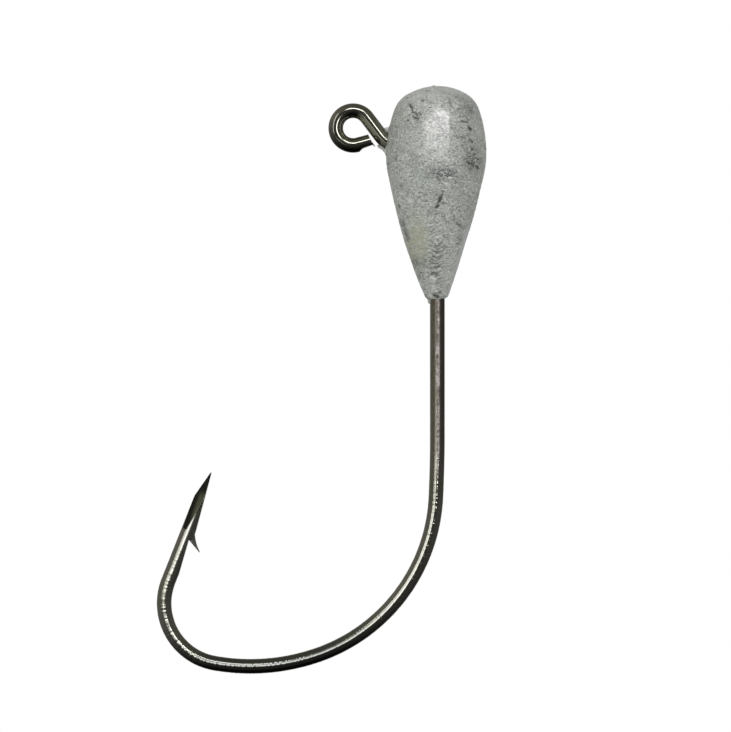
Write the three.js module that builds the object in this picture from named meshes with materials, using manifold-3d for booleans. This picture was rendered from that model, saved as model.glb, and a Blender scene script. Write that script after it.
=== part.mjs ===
// A round-nosed, tapered jig head: a lead body cast around the shank of a bent jig hook.
//
// The hook is one length of round wire that lies in the XZ plane. The origin is the centre of its
// line-tie eye, +Z runs from the bend towards the nose of the head, and +X from the point towards the
// shank. Lengths are millimetres and angles degrees. Headings are measured in the XZ plane, from +X
// towards +Z, and a positive turn is to the left of the way the wire runs.

import * as THREE from 'three';
import { mergeVertices } from 'three/addons/utils/BufferGeometryUtils.js';
import Module from 'manifold-3d';

// Wire
const WIRE_RADIUS = 0.64;
const WIRE_SIDES = 16;

// How deep the plates and bars are that cut or make a shape right through the wire
const TOOL_DEPTH = 4 * WIRE_RADIUS;

// How far the middle of a straight step may lie from the round bend that it stands for
const CHORD_ERROR = 0.01;

// Eye: a turn of wire closed by a straight end, cut at a slant just short of the neck. The face of the
// cut looks towards a heading, at a distance from the centre of the eye, and the cutter has taken a
// round bite out of the lower side next to it.
const EYE_BEND_RADIUS = 1.51;
const EYE_WRAP = 248;
const EYE_END_LENGTH = 1.75;
const EYE_CUT = { heading: 28.4, distance: 0.9 };
const EYE_BITE = { x: 1.73, z: -2.96, radius: 1.46 };
const BITE_SIDES = 48;

// Neck: runs from the eye into the head, and turns down into the shank inside it
const NECK_HEADING = -53;
const NECK_LENGTH = 1.95;
const NECK_BEND = { radius: 3.0, turn: 23 };
const NECK_INNER_LENGTH = 3.64;
const SHANK_CORNER = { radius: 1.8, turn: -60 };

// Shank, and the round bend in stretches that each meet the next at a tangent
const SHANK_LENGTH = 21.71;
const HOOK_BENDS = [
  { radius: 120, turn: -2.66 },
  { radius: 15.26, turn: -67.83 },
  { radius: 17.91, turn: -29.62 },
  { radius: 5.28, turn: -101.56 },
];
const POINT_LENGTH = 10.08;

// Point: two facets ground on the outer side meet in a ridge, and the inner side is relieved
const TIP_INWARD = -0.05;
const RIDGE_SLOPE = 12.9;
const INNER_SLOPE = 6.5;
const FACET_ANGLE = 55;
const UNGROUND_EXTRA = 0.5;
const GRIND_BLOCK = 11;

// Barb: a chip raised from the inner side of the wire. Each place is a distance back from the tip and
// a distance in from the wire's centreline.
const BARB_ROOT = { back: 5.36, inward: 0.56 };
const BARB_TIP = { back: 6.78, inward: 1.6 };
const BARB_CROTCH = { back: 6.19, inward: 0.35 };
const BARB_ANCHOR = { back: 5.4, inward: 0.1 };
const CHIP_START = { back: 9.3, inward: WIRE_RADIUS };
const CHIP_CLEARANCE = 1;

// Lead head: a turned profile, from the crown down to the tail, which ends in the rounded edge and flat
// end of the tail. The casting sits a little to one side of the shank.
const HEAD_TOP = 3.63;
const HEAD_OFFSET = -0.1;
const HEAD_SIDES = 48;
const HEAD_BENDS = [
  { radius: 5.1, turn: -30.6 },
  { radius: 2.5, turn: -39.4 },
  { radius: 11.5, turn: -20 },
  { radius: 7.5, turn: -11.5 },
  { radius: 66, turn: -9.8 },
  { radius: 0.16, turn: -68.7 },
];
const WIRE_CLEARANCE = 0.1;

// What the mould leaves: a stub of the sprue on the crown, and thin flash in the parting plane
const SPRUE_RADIUS = 0.28;
const SPRUE_TOP = 3.7;
const SPRUE_OFFSET = -0.5;
const SPRUE_LENGTH = 0.6;
const FLASH_THICKNESS = 0.2;
const FLASH_TOP = { x: 2.62, z: 0.04 };
const FLASH_BOTTOM = { x: 2.1, z: -1.55 };
const FLASH_CORNER = { x: 2.83, z: -2.05 };
const FLASH_FOOT = { x: 2.88, z: -2.9 };
const FLASH_DEPTH = 3.9;

const UP = new THREE.Vector3(0, 0, 1);
const radians = THREE.MathUtils.degToRad;

// A run of straights and round bends in the XZ plane. Its parameter shares out the steps of the pieces,
// not their lengths, so that a tight bend is divided as finely as it needs and a straight is one step.
class BentLine extends THREE.Curve {
  constructor(x, z, heading) {
    super();
    this.end = { x, z, heading: radians(heading) };
    this.pieces = [];
    this.steps = 0;
  }

  straight(length) {
    return this.add({ length, turn: 0, steps: 1 });
  }

  bend({ radius, turn }) {
    const widest = 2 * Math.acos(1 - CHORD_ERROR / radius);
    const steps = Math.ceil(Math.abs(radians(turn)) / widest);
    return this.add({ length: radius * Math.abs(radians(turn)), turn: radians(turn), steps });
  }

  add(piece) {
    this.pieces.push({ ...this.end, ...piece, first: this.steps });
    this.steps += piece.steps;
    this.end = this.along(1);
    return this;
  }

  // Place and heading at a share of the whole parameter
  along(share) {
    const step = share * this.steps;
    const piece = this.pieces.findLast((p) => p.first <= step);
    const part = (step - piece.first) / piece.steps;
    const heading = piece.heading + piece.turn * part;
    if (piece.turn === 0) {
      return {
        x: piece.x + Math.cos(heading) * piece.length * part,
        z: piece.z + Math.sin(heading) * piece.length * part,
        heading,
      };
    }
    const radius = piece.length / piece.turn;
    return {
      x: piece.x + radius * (Math.sin(heading) - Math.sin(piece.heading)),
      z: piece.z - radius * (Math.cos(heading) - Math.cos(piece.heading)),
      heading,
    };
  }

  getPoint(share) {
    const { x, z } = this.along(share);
    return new THREE.Vector3(x, 0, z);
  }

  getTangent(share) {
    const { heading } = this.along(share);
    return new THREE.Vector3(Math.cos(heading), 0, Math.sin(heading));
  }

  getUtoTmapping(share) {
    return share;
  }
}

const wasm = await Module();
wasm.setup();

function solidOf(geometry) {
  const bare = geometry.clone();
  bare.deleteAttribute('normal');
  bare.deleteAttribute('uv');
  const merged = mergeVertices(bare);
  return new wasm.Manifold(new wasm.Mesh({
    numProp: 3,
    vertProperties: merged.attributes.position.array,
    triVerts: new Uint32Array(merged.index.array),
  }));
}

function geometryOf(solid) {
  const { vertProperties, triVerts } = solid.getMesh();
  const geometry = new THREE.BufferGeometry();
  geometry.setAttribute('position', new THREE.BufferAttribute(vertProperties, 3));
  geometry.setIndex(new THREE.BufferAttribute(triVerts, 1));
  geometry.computeVertexNormals();
  return geometry;
}

// Round bar of a given radius along a line
function bar(line, radius) {
  const section = new THREE.Shape();
  for (let side = 0; side < WIRE_SIDES; side += 1) {
    const angle = (2 * Math.PI * side) / WIRE_SIDES;
    const x = radius * Math.cos(angle);
    const y = radius * Math.sin(angle);
    if (side === 0) {
      section.moveTo(x, y);
    } else {
      section.lineTo(x, y);
    }
  }
  return solidOf(new THREE.ExtrudeGeometry(section, { steps: line.steps, extrudePath: line }));
}

// Flat plate in the XZ plane, with its middle on the plane of the hook
function plate(outline, thickness) {
  const geometry = new THREE.ExtrudeGeometry(outline, { depth: thickness, bevelEnabled: false });
  geometry.translate(0, 0, -thickness / 2);
  geometry.rotateX(Math.PI / 2);
  return solidOf(geometry);
}

// Block that lies against a plane, on the side its normal points to
function blockBeyond(point, normal) {
  const geometry = new THREE.BoxGeometry(GRIND_BLOCK, GRIND_BLOCK, GRIND_BLOCK);
  geometry.translate(0, 0, GRIND_BLOCK / 2);
  geometry.applyQuaternion(new THREE.Quaternion().setFromUnitVectors(UP, normal));
  geometry.translate(point.x, point.y, point.z);
  return solidOf(geometry);
}

// The neck's straight leaves the eye at a tangent, so its heading also gives the place where it leaves
function eyeExit() {
  const around = radians(NECK_HEADING + 90);
  return { x: EYE_BEND_RADIUS * Math.cos(around), z: EYE_BEND_RADIUS * Math.sin(around) };
}

// From the cut end round the eye, to the place where the neck leaves it
function eyeLine() {
  const entry = radians(NECK_HEADING + 90 + EYE_WRAP);
  const heading = NECK_HEADING + EYE_WRAP;
  const x = EYE_BEND_RADIUS * Math.cos(entry) - EYE_END_LENGTH * Math.cos(radians(heading));
  const z = EYE_BEND_RADIUS * Math.sin(entry) - EYE_END_LENGTH * Math.sin(radians(heading));
  const line = new BentLine(x, z, heading);
  return line.straight(EYE_END_LENGTH).bend({ radius: EYE_BEND_RADIUS, turn: -EYE_WRAP });
}

// The neck, its bends and the top of the shank
function neckLine() {
  const { x, z } = eyeExit();
  return new BentLine(x, z, NECK_HEADING)
    .straight(NECK_LENGTH)
    .bend(NECK_BEND)
    .straight(NECK_INNER_LENGTH)
    .bend(SHANK_CORNER)
    .straight(SHANK_LENGTH);
}

// The neck, the shank, the bend and the point, up to where the tip is ground
function hookLine() {
  const line = neckLine();
  HOOK_BENDS.forEach((bend) => line.bend(bend));
  return line.straight(POINT_LENGTH);
}

// The directions that the point is made in, and its tip
function pointFrame() {
  const { x, z, heading } = hookLine().end;
  const ahead = new THREE.Vector3(Math.cos(heading), 0, Math.sin(heading));
  const inward = new THREE.Vector3(Math.sin(heading), 0, -Math.cos(heading));
  const axisEnd = new THREE.Vector3(x, 0, z);
  return { ahead, inward, axisEnd, tip: axisEnd.clone().addScaledVector(inward, TIP_INWARD) };
}

function placeOnPoint({ back, inward }) {
  const frame = pointFrame();
  return frame.axisEnd.addScaledVector(frame.ahead, -back).addScaledVector(frame.inward, inward);
}

function outlineOf(places) {
  return new THREE.Shape(places.map((place) => new THREE.Vector2(place.x, place.z)));
}

function grindPoint(wire) {
  const { ahead, inward, tip } = pointFrame();
  const innerNormal = inward.clone()
    .multiplyScalar(Math.cos(radians(INNER_SLOPE)))
    .addScaledVector(ahead, Math.sin(radians(INNER_SLOPE)));
  let ground = wire.subtract(blockBeyond(tip, innerNormal));
  for (const side of [-1, 1]) {
    const across = Math.cos(radians(FACET_ANGLE));
    const normal = new THREE.Vector3(0, side * Math.sin(radians(FACET_ANGLE)), 0)
      .addScaledVector(inward, -across)
      .addScaledVector(ahead, across * Math.tan(radians(RIDGE_SLOPE)))
      .normalize();
    ground = ground.subtract(blockBeyond(tip, normal));
  }
  return ground;
}

// The chip keeps the round of the wire on its outer face, and leaves a shallow cut behind it
function raiseBarb(wire) {
  const root = placeOnPoint(BARB_ROOT);
  const tip = placeOnPoint(BARB_TIP);
  const crotch = placeOnPoint(BARB_CROTCH);
  const start = placeOnPoint(CHIP_START);
  const above = { back: BARB_CROTCH.back, inward: WIRE_RADIUS + CHIP_CLEARANCE };
  const cut = plate(outlineOf([start, placeOnPoint(above), crotch]), TOOL_DEPTH);
  const chip = plate(outlineOf([root, tip, crotch, placeOnPoint(BARB_ANCHOR)]), TOOL_DEPTH);

  const edge = tip.clone().sub(root).normalize();
  const outward = new THREE.Vector3(-edge.z, 0, edge.x);
  const reach = 2 * WIRE_RADIUS;
  const centre = root.clone().addScaledVector(outward, -WIRE_RADIUS).addScaledVector(edge, -reach);
  const heading = THREE.MathUtils.radToDeg(Math.atan2(edge.z, edge.x));
  const round = new BentLine(centre.x, centre.z, heading).straight(root.distanceTo(tip) + 2 * reach);
  return wire.subtract(cut).add(chip.intersect(bar(round, WIRE_RADIUS)));
}

// The block that makes the cut is moved down along the cut, clear of the place where the neck starts
function bentEye() {
  const facing = radians(EYE_CUT.heading);
  const normal = new THREE.Vector3(Math.cos(facing), 0, Math.sin(facing));
  const place = normal.clone().multiplyScalar(EYE_CUT.distance);
  place.addScaledVector(new THREE.Vector3(normal.z, 0, -normal.x), GRIND_BLOCK / 2);
  const bite = new THREE.CylinderGeometry(EYE_BITE.radius, EYE_BITE.radius, TOOL_DEPTH, BITE_SIDES);
  bite.translate(EYE_BITE.x, 0, EYE_BITE.z);
  return bar(eyeLine(), WIRE_RADIUS).subtract(blockBeyond(place, normal)).subtract(solidOf(bite));
}

function jigHook() {
  const wire = bar(hookLine().straight(UNGROUND_EXTRA), WIRE_RADIUS);
  return bentEye().add(raiseBarb(grindPoint(wire)));
}

function turnedHead(axis) {
  const line = new BentLine(0, HEAD_TOP, 0);
  HEAD_BENDS.forEach((bend) => line.bend(bend));
  const profile = [];
  for (let step = line.steps; step >= 0; step -= 1) {
    const { x, z } = line.along(step / line.steps);
    profile.push(new THREE.Vector2(x, z));
  }
  profile[line.steps].x = 0;
  profile.unshift(new THREE.Vector2(0, line.end.z));
  const geometry = new THREE.LatheGeometry(profile, HEAD_SIDES);
  geometry.rotateX(Math.PI / 2);
  geometry.translate(axis, 0, 0);
  return solidOf(geometry);
}

function sprueStub(axis) {
  const geometry = new THREE.CylinderGeometry(SPRUE_RADIUS, SPRUE_RADIUS, SPRUE_LENGTH, WIRE_SIDES);
  geometry.rotateX(Math.PI / 2);
  geometry.translate(axis + SPRUE_OFFSET, 0, SPRUE_TOP - SPRUE_LENGTH / 2);
  return solidOf(geometry);
}

function neckFlash() {
  const outline = new THREE.Shape();
  outline.moveTo(FLASH_TOP.x, FLASH_TOP.z);
  outline.lineTo(FLASH_DEPTH, FLASH_TOP.z);
  outline.lineTo(FLASH_DEPTH, FLASH_FOOT.z);
  outline.lineTo(FLASH_FOOT.x, FLASH_FOOT.z);
  outline.quadraticCurveTo(FLASH_CORNER.x, FLASH_CORNER.z, FLASH_BOTTOM.x, FLASH_BOTTOM.z);
  return plate(outline, FLASH_THICKNESS);
}

// The lead is cast round the wire, so the wire's way through it is cut with a little clearance
function leadHead() {
  const axis = neckLine().end.x + HEAD_OFFSET;
  return turnedHead(axis)
    .add(sprueStub(axis))
    .add(neckFlash())
    .subtract(bar(neckLine(), WIRE_RADIUS + WIRE_CLEARANCE));
}

function part(name, solid, material) {
  const mesh = new THREE.Mesh(geometryOf(solid), new THREE.MeshStandardMaterial(material));
  mesh.name = name;
  return mesh;
}

const jig = new THREE.Group();
jig.add(part('lead_head', leadHead(), { color: 0xa3a6a1, roughness: 0.55, metalness: 0.7 }));
jig.add(part('jig_hook', jigHook(), { color: 0x4c4a40, roughness: 0.22, metalness: 1 }));

export default jig;
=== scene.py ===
"""The looks of a jig head: a lead casting on a black-nickel jig hook.

Shapes are worked out in millimetres, and become metres when a mesh is made. The hook lies in the XZ plane, and the
origin is the centre of its line-tie eye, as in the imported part. Angles are degrees where they are named values.
"""

from collections import namedtuple
from math import atan2, cos, degrees, hypot, inf, pi, radians, sin, tan

import bmesh
import bpy
import numpy as np
from mathutils import Matrix, Vector, kdtree, noise


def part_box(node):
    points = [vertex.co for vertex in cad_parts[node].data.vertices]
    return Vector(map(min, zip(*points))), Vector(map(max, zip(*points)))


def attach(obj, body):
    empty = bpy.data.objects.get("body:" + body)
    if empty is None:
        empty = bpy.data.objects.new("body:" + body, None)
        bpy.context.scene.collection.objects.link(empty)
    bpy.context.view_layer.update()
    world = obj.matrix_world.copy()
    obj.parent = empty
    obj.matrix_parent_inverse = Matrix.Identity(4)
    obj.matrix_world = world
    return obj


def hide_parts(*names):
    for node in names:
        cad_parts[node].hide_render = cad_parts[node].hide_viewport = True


MM = 0.001

# The wire and its path: a straight is (length,) and a bend is (radius, turn), a turn to the left being above zero
WIRE_RADIUS = 0.64
EYE_RADIUS = 1.51
EYE_WRAP = 248
EYE_END = 1.75
NECK_HEADING = -53
NECK = [(1.95,), (3.0, 23), (3.64,), (1.8, -60)]
SHANK = [(21.71,)]
BEND = [(120, -2.66), (15.26, -67.83), (17.91, -29.62), (5.28, -101.56)]
POINT = [(10.14,)]
COARSE_STEP = 0.08
EYE_STEP = COARSE_STEP / 2
FINE_STEP = 0.045
WIRE_SIDES = 88

# The eye's end is cut at a slant, and the cutter took a round bite from its lower side and left a burr
CUT_HEADING = 28.4
CUT_DISTANCE = 0.9
CUT_TILT = 0.12
CUT_RINGS = 9
BITE = (1.73, -2.96)
BITE_RADIUS = 1.46
BURR = [(1.5, -1.46), (1.6, -1.2), (1.72, -1.3), (1.93, -1.63), (1.87, -1.61), (1.79, -1.53), (1.68, -1.48)]
BURR_THICKNESS = 0.7

# The ground point: distances are back from the tip and in from the wire's centre line
TIP_INWARD = -0.035
TIP_ROUND = 0.042
RIDGE_SLOPE = 13.3
RIDGE_STRAIGHT = 1.9
RIDGE_END = 5.3
FACET_ANGLE = 55
INNER_SLOPE = 6.7
EDGE_SOFTNESS = 0.006
SOFTNESS_SLOPE = 0.1
SOFTNESS_START = 0.02
ALMOST_NONE = 1e-3
FAR_OFF = 1e3
SHARP_ANGLE = 24

# The barb: a chip bowed in a little along its outer side, and the slope that it was cut from
BARB_ROOT = (5.2, 0.5)
BARB_TIP = (6.8, 1.62)
BARB_CROTCH = (6.17, 0.33)
BARB_ANCHOR = (5.4, -0.05)
BARB_BURIED = 1 / 2.6
BARB_BOW = (0.066, -0.0996)
BARB_TIP_DROP = 0.05
BARB_HALF_WIDTH = 0.34
BARB_TIP_HALF_WIDTH = 0.03
BARB_TAPER = 0.62
BARB_ROUNDNESS = 0.8
BARB_UNDERSIDE = 0.15
BARB_SECTIONS = 40
BARB_SIDES = 28
SCOOP_START = 9.3

# Unevenness in layers of noise: the size along the wire, the fineness round it, two shifts and a share
RIPPLE_HEIGHT = 0.0095
RIPPLES = [(0.2, 0.55, 0, 0, 1), (0.11, 0.9, 40, 0, 0.35)]
GRAIN_HEIGHT = 0.0045
GRAINS = [(0.22, 3.2, 0, 9, 1), (0.1, 6.0, 0, 5, 0.6)]

# Where looks change along the wire: the ends of a soft rise or fall, from the start of a stretch
RIPPLES_RISE = (-3, 9)
RIPPLES_FALL = (-9, -5.5)
GRAINS_RISE = (-1, 1)
GRAINS_FALL = (0, 8)
BENT_RISE = (-2, 7)
# Where painted shade dims the highlight on the bend's bottom
BOTTOM_SHADE = (14, 23), (33, 39)
EYE_FALL = (-4, -1)
# Where the painted shade under the eye fades out
UNDER_FALL = (1.2, 3.6)
# Where the painted olive reflection along the neck starts and ends
NECK_REFLECTION_STRETCH = (-1.0, -0.5), (4, 5)
# Where the painted reflection on the ground facets' middle lies, back from the tip
FACET_REFLECTION_SPAN = (1.5, 2.4), (3.7, 4.9)

# Lines along the wire, all painted light and shade: how far left of its middle each lies, and its half width
# In turn: painted shade down the shank's left side, the shank's pale painted highlight, a thin painted glint beside
# it, and a painted olive reflection along the neck
SHADE_LINE = (-0.25, 0.16)
STREAK_LINE = (0.04, 0.17)
GLINT_LINE = (0.16, 0.03)
NECK_REFLECTION_LINE = (-0.33, 0.16)
# How strongly the thin painted glint shows, and how long the stretches are between its breaks
GLINT_STRENGTH = 0.6
GLINT_BREAKS = 1.5
BREAK_RISE = (-0.2, 0.2)
STREAK_LENGTH = 0.3
STREAK_FINENESS = 2
WANDER = [(1, 0, 0.07), (3, 8, 0.05)]
# Where the painted shade on the shank's dark right side starts
SHADE_EDGE = (0.16, 0.2)
# Where the painted shade under the eye starts
UNDER_EDGE = (0.02, 0.3)
FACING_RISE = 0.2

# Painted shade on the inside of the eye: the middle and half width of its arc in degrees, and its soft edge
INSIDE_SHADE_ARC = (92, 42)
INSIDE_SHADE_EDGE = (-0.02, 0.25)

# How far inside the facets' planes the dark of the ground surface reaches over the round wire as painted shade, and
# how much further near the tip
GROUND_EDGE = (-0.05, -0.028)
GROUND_MARGIN = 0.06
MARGIN_FALL = (3.2, 4.2)
GROUND_BEYOND = 0.1
# For the painted reflection on the facets: how near their plane it shows, where it fades out towards the outer side,
# and how that edge drifts with distance from the tip
FACET_EDGE = (-0.014, -0.006)
FACET_REFLECTION_EDGE = (0.15, 0.5)
FACET_REFLECTION_DRIFT = 0.03
CUT_FACING = (0.5, 0.8)
CUT_LOWEST = -1.3
BARB_RISE = (0.03, 0.5)

# The head's profile from its crown down, the flat end of its tail, and its wandering midline
HEAD_TOP = 3.63
HEAD_BENDS = [(5.1, -30.6), (2.5, -39.4), (11.5, -20), (7.5, -11.5), (66, -9.8), (0.16, -68.7)]
HEAD_AXIS = 7.227
HEAD_SIDES = 200
HEAD_STEP = 0.1
TAIL_LIP = [[0.84, -14.76], [0.77, -14.83], [0.68, -14.88]]
TAIL_RINGS = 12
MIDLINE_HEIGHTS = [-14.8, -12.5, -10, -6, -3, 0, 3.7]
MIDLINE = [7.25, 7.17, 7.14, 7.19, 7.21, 7.24, 7.3]

# What the mould leaves. A plate is an outline and a thickness, and a lump is a middle and three half sizes.
FLASHES = {
    "flash_below": ([(2.1, -1.5), (2.2, -1.72), (2.5, -1.9), (2.72, -2.12), (2.85, -2.45), (2.9, -2.95),
                     (4.2, -3.2), (4.2, -1.5), (3.0, -1.2)], 0.34),
    "flash_above": ([(2.66, 0.02), (2.8, 0.06), (3.2, 0.1), (4.0, 0.2), (4.0, -1.2), (2.7, -0.6)], 0.3),
}
LUMPS = {
    "sprue": ((7.0, 0, 3.45), (0.3, 0.24, 0.27)),
    "tail_run": ((6.66, 0, -14.5), (0.42, 0.55, 0.48)),
    "tail_nub": ((6.63, 0, -14.96), (0.15, 0.3, 0.34)),
}
LUMP_RINGS, LUMP_SIDES = 14, 24

# Bars along the neck and the shank: a radius, and the lengths from the eye where they start and end
COLLAR = (WIRE_RADIUS + 0.07, 2.85, 4.5)
WIRE_WAY = (WIRE_RADIUS - 0.004, 0.9, 60)
SLEEVE_SHANK = 10.5
SLEEVE_SIDES = 48

VOXEL = 0.06
RELAX_FACTOR, RELAX_TIMES = 0.5, 3

# The casting's relief: the size of each layer of noise, its shift and its height
CAST_NOISE = [(2.2, 0, 0.035), (0.5, 7, 0.012), ((0.26, 0.2, 0.16), 19, 0.02)]
PIT_DEPTH = 0.07
FLECK_HEIGHT = 0.02
WRINKLE_HEIGHT = 0.02
WRINKLE_LENGTH = 0.36
WRINKLE_SLANT = 0.45
WRINKLE_BEND = (0.9, 0.5)

# How marks get ragged edges, and how they move and fade on the back
RAGGEDNESS = 0.1
RAGGED_NOISE = [(0.22, 31, 1), (0.1, 57, 0.6)]
BACK_START = 0.4
BACK_RISE = 0.9
BACK_SHIFT = 0.9
BACK_STRENGTH = 0.7
DARK_GAIN, DARK_WIDTH = 1.25, 0.95

# Marks on the head: a half width, a strength, and the x and z of each place that the mark is drawn through
PITS = [
    (0.08, 1, 4.9, 1.85, 5.15, 1.2, 5.6, 0.8), (0.12, 0.6, 4.8, 1.85), (0.1, 0.8, 5.25, 0.7, 5.35, 0.5, 5.6, 0.55),
    (0.14, 0.5, 5.8, 0.95), (0.12, 0.7, 4.7, 0.4), (0.15, 0.8, 5.95, 2.1), (0.07, 0.6, 4.7, 2.5),
    (0.09, 0.5, 6.3, 3.05, 6.6, 3.05), (0.08, 0.5, 8.15, 2.45, 8.3, 2.1, 8.52, 1.55), (0.1, 0.6, 3.7, -0.05),
    (0.1, 0.8, 9.25, 0.3, 9.85, 0.3), (0.13, 1, 10, -0.15, 10.1, -0.35), (0.13, 0.8, 10.05, -1.25),
    (0.09, 0.6, 10, -0.8), (0.11, 0.8, 10.3, -2), (0.1, 0.9, 10.2, -3.3, 10.35, -3.45),
    (0.12, 1, 10.65, -3.5, 10.75, -3.65), (0.1, 0.8, 10.75, -2.9), (0.09, 0.6, 10, -2.75), (0.08, 0.6, 9.75, -3),
    (0.08, 0.7, 10.5, -2.5), (0.13, 1, 10.25, -1.4), (0.1, 1, 10.15, -1.95, 10.25, -2.1), (0.08, 0.8, 10.6, -2.15),
    (0.1, 0.9, 9.85, -3.2, 10, -3.3), (0.08, 0.9, 10.4, -2.75), (0.08, 0.9, 10.95, -3.25), (0.09, 0.8, 10.1, -3.75),
    (0.07, 0.4, 6.6, -3.95, 6.85, -4.05), (0.06, 0.3, 7, -4.35, 7.3, -4.25), (0.06, 0.3, 7.5, -4.5, 7.8, -4.45),
    (0.06, 0.3, 8.1, -4.1, 8.4, -4.05), (0.06, 0.3, 7.3, -4.75, 7.55, -4.8), (0.06, 0.4, 7.7, -3.6, 8.2, -3.55),
    (0.06, 0.4, 8.3, -4.3, 8.65, -4.2), (0.06, 0.6, 8.6, -1, 9.7, -1.08), (0.07, 0.4, 8.4, -0.3, 8.9, -0.35),
    (0.07, 0.5, 9, 1.35, 9.6, 1.5), (0.1, 0.7, 3.05, -3.2), (0.1, 0.5, 3.45, -3.8),
    (0.09, 0.8, 7.7, -5.75, 7.58, -6.15, 7.4, -6.55), (0.1, 1.5, 7.52, -6.25, 7.36, -6.62),
    (0.13, 1.8, 7.28, -6.9, 7.16, -7.02), (0.08, 0.6, 3.95, -6.75, 4.05, -7),
    (0.07, 0.5, 4.12, -7.9, 4.2, -8.25, 4.4, -8.7), (0.07, 0.6, 4.42, -8.95, 4.6, -9.35, 4.8, -9.9),
    (0.13, 0.5, 8.65, -7.75, 8.75, -8.1), (0.12, 0.6, 8.95, -8.4, 9.15, -8.6),
    (0.14, 0.4, 4.3, -8.2, 4.55, -9, 4.8, -9.75), (0.16, 0.22, 5.3, -11.7, 6, -11.95, 6.8, -12.4),
    (0.08, 0.35, 6.75, -10.3, 7.2, -10.45, 7.55, -10.3), (0.08, 0.35, 6.9, -10.85, 7.5, -10.75),
    (0.08, 0.45, 6.95, -11.3, 7.35, -11.45, 7.65, -11.35), (0.08, 0.45, 6.8, -11.75, 7.3, -11.85),
    (0.08, 0.4, 7, -12.15, 7.5, -12.1), (0.08, 0.6, 6.75, -12.65, 7.3, -12.75),
    (0.08, 0.5, 7.35, -13.2, 7.6, -13.1), (0.08, 0.6, 9, -10.1), (0.07, 0.5, 9.05, -9.6),
    (0.14, 1.2, 7.05, -14.55, 7.35, -14.65), (0.1, 0.7, 7.4, -14.4, 7.6, -14.3),
    (0.08, 0.6, 6.2, -14.5, 6.6, -14.9),
]
# Smudges: a strength, the x and z of the middle, and two half sizes
SMUDGES = [
    (0.75, 9.9, 1.7, 0.6, 0.9), (0.5, 9.2, 2.4, 0.8, 0.45), (0.4, 7.1, -6.6, 1.2, 1.2), (0.5, 7.2, -11.4, 0.75, 2),
    (0.5, 7.65, 2.9, 0.3, 0.15), (1, 10.2, -3, 0.65, 1), (0.6, 9.95, 0.9, 0.3, 0.4), (0.3, 9.5, -0.9, 0.9, 0.5),
    (1, 7.8, -4.25, 1.3, 0.6), (0.2, 5.3, -2.9, 0.9, 0.7), (0.35, 10, -7.2, 0.3, 0.5), (0.7, 6.6, -11.75, 1, 0.5),
    (0.7, 7.05, -12.75, 0.4, 0.15), (0.8, 5.45, -11.7, 0.35, 0.55), (0.7, 5.85, -12.7, 0.25, 0.4),
    (0.3, 9.2, -9.6, 0.25, 2.2),
]
FLECKS = [
    (0.09, 1, 7.1, 1.2, 7.55, 0.8), (0.11, 1, 7.65, 1.1, 8.2, 0.58), (0.07, 0.8, 6.3, 0.05, 6.45, 0.35, 6.8, 0.4),
    (0.06, 0.6, 6.35, -0.5, 6.5, -0.2), (0.1, 0.8, 8.1, 0.2), (0.09, 0.7, 7.05, -1.6),
    (0.07, 0.7, 7.9, -5.05, 8.05, -5.1), (0.09, 0.7, 9.1, -3.95), (0.05, 0.6, 8.3, -4.6, 8.5, -4.55),
    (0.06, 0.5, 7, -4.65), (0.05, 0.5, 7.9, -4.1, 8.1, -4.05), (0.07, 0.35, 6.25, -9.5),
    (0.06, 0.45, 7.1, -9.65, 7.7, -9.6), (0.06, 0.35, 6.55, -10.75), (0.07, 0.5, 6.75, -13, 7.1, -13.15),
]
# The stain's and the wrinkles' ovals, as for a smudge, and the two ends of the smooth band
STAIN = (5.6, -10.3, 1.15, 2.1)
WRINKLES = (7.25, -11.3, 0.75, 2.1)
BAND = (10.0, -9.0, 8.4, -14.6)
BAND_WIDTH = 0.32
# Where the head's top is painted paler, as painted light from above
TOP_LIGHT_RISE = (1.2, 3.0)

# A painted highlight on the widest part of the head, which is also made a little smoother there
SHEEN_LEFT = 6.1
SHEEN_SLANT = 0.5
SHEEN_SLANT_FROM = -0.4
SHEEN_LEFT_RISE = (-0.5, 0.5)
SHEEN_RIGHT = (8.22, 8.36)
SHEEN_HEIGHTS = (-4.2, 0.2), (1.0, 1.5)


def smooth(low, high, x):
    """0 below low, 1 above high, and a smooth rise between them."""
    t = np.clip((x - low) / (high - low), 0, 1)
    return t * t * (3 - 2 * t)


def within(rise, fall, x):
    """A smooth rise from 0 to 1, and a smooth fall back to 0."""
    return smooth(*rise, x) * (1 - smooth(*fall, x))


def noise_at(points):
    return np.array([noise.noise(p) for p in points.tolist()])


def round_pairs(sides):
    """Each corner of a ring with the next one."""
    return [(j, (j + 1) % sides) for j in range(sides)]


def angles(sides):
    return np.arange(sides) * 2 * pi / sides


# Meshes


def add_object(name, data):
    made = bpy.data.objects.new(name, data)
    bpy.context.scene.collection.objects.link(made)
    return made


def make_object(name, points, faces):
    mesh = bpy.data.meshes.new(name)
    mesh.from_pydata((np.asarray(points) * MM).tolist(), [], faces)
    mesh.update()
    mesh.shade_smooth()
    return add_object(name, mesh)


def make_solid(name, points, faces):
    """A closed object whose faces all look outwards."""
    made = make_object(name, points, faces)
    b = bmesh.new()
    b.from_mesh(made.data)
    bmesh.ops.recalc_face_normals(b, faces=b.faces)
    b.to_mesh(made.data)
    b.free()
    return made


def ring_faces(rings, sides):
    """Quads that join each ring of points to the next."""
    return [(i * sides + j, i * sides + k, (i + 1) * sides + k, (i + 1) * sides + j)
            for i in range(rings - 1) for j, k in round_pairs(sides)]


def capped_faces(rings, sides):
    """Ring faces, and a flat face over each end."""
    first = tuple(range(sides))[::-1]
    last = tuple((rings - 1) * sides + j for j in range(sides))
    return ring_faces(rings, sides) + [first, last]


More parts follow.
